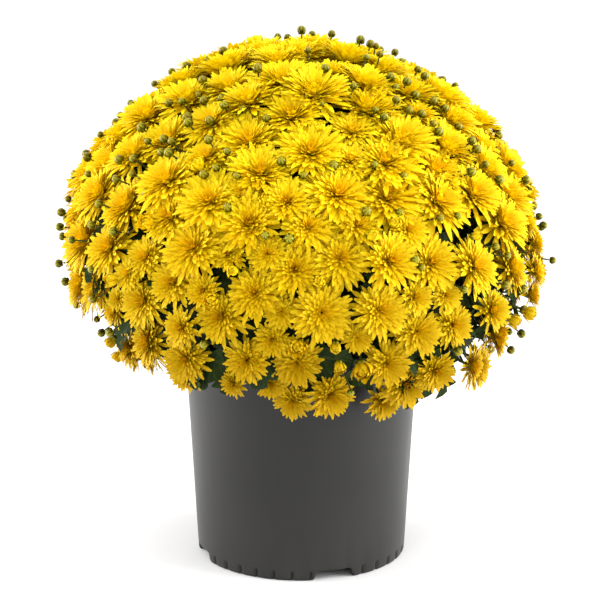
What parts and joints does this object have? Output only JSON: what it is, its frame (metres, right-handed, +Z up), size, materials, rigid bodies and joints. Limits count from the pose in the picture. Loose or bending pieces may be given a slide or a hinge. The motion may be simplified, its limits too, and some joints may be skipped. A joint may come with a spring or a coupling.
{
  "type": "potted chrysanthemum",
  "caption": "Dense rounded dome of double yellow chrysanthemum blooms and buds on branching leafy stems, in a plain dark tapered nursery pot.",
  "frame": {"origin": "on the surface the pot stands on, under the middle of the plant", "axes": "+Z up; the pictured front faces -Y; +X to the right seen from the front"},
  "size_m": [0.4653, 0.4652, 0.4953],
  "materials": {
    "pot_plastic": "satin dark grey moulded plastic",
    "soil": "dark crumbly potting mix, matt",
    "petals": "soft matt yellow petals",
    "foliage": "dark green leaves and stems, slightly waxy"
  },
  "bodies": {
    "root": {"pot": "pot_plastic", "potting_mix": "soil", "flower_cluster_row_0_1": "petals", "flower_cluster_row_1_1": "petals", "flower_cluster_row_1_2": "petals", "flower_cluster_row_1_3": "petals", "flower_cluster_row_1_4": "petals", "flower_cluster_row_1_5": "petals", "flower_cluster_row_1_6": "petals", "flower_cluster_row_2_1": "petals", "flower_cluster_row_2_2": "petals", "flower_cluster_row_2_3": "petals", "flower_cluster_row_2_4": "petals", "flower_cluster_row_2_5": "petals", "flower_cluster_row_2_6": "petals", "flower_cluster_row_2_7": "petals", "flower_cluster_row_2_8": "petals", "flower_cluster_row_2_9": "petals", "flower_cluster_row_2_10": "petals", "flower_cluster_row_3_1": "petals", "flower_cluster_row_3_2": "petals", "flower_cluster_row_3_3": "petals", "flower_cluster_row_3_4": "petals", "flower_cluster_row_3_5": "petals", "flower_cluster_row_3_6": "petals", "flower_cluster_row_3_7": "petals", "flower_cluster_row_3_8": "petals", "flower_cluster_row_3_9": "petals", "flower_cluster_row_3_10": "petals", "flower_cluster_row_4_1": "petals", "flower_cluster_row_4_2": "petals", "flower_cluster_row_4_3": "petals", "flower_cluster_row_4_4": "petals", "flower_cluster_row_4_5": "petals", "flower_cluster_row_4_6": "petals", "flower_cluster_row_4_7": "petals", "flower_cluster_row_4_8": "petals", "flower_cluster_row_4_9": "petals", "flower_cluster_row_4_10": "petals", "leafy_stem_0": "foliage", "leafy_stem_1": "foliage", "leafy_stem_2": "foliage", "leafy_stem_3": "foliage", "leafy_stem_4": "foliage", "leafy_stem_5": "foliage", "leafy_stem_6": "foliage", "leafy_stem_7": "foliage", "leafy_stem_8": "foliage", "leafy_stem_9": "foliage", "leafy_stem_10": "foliage"}
  },
  "joints": []
}
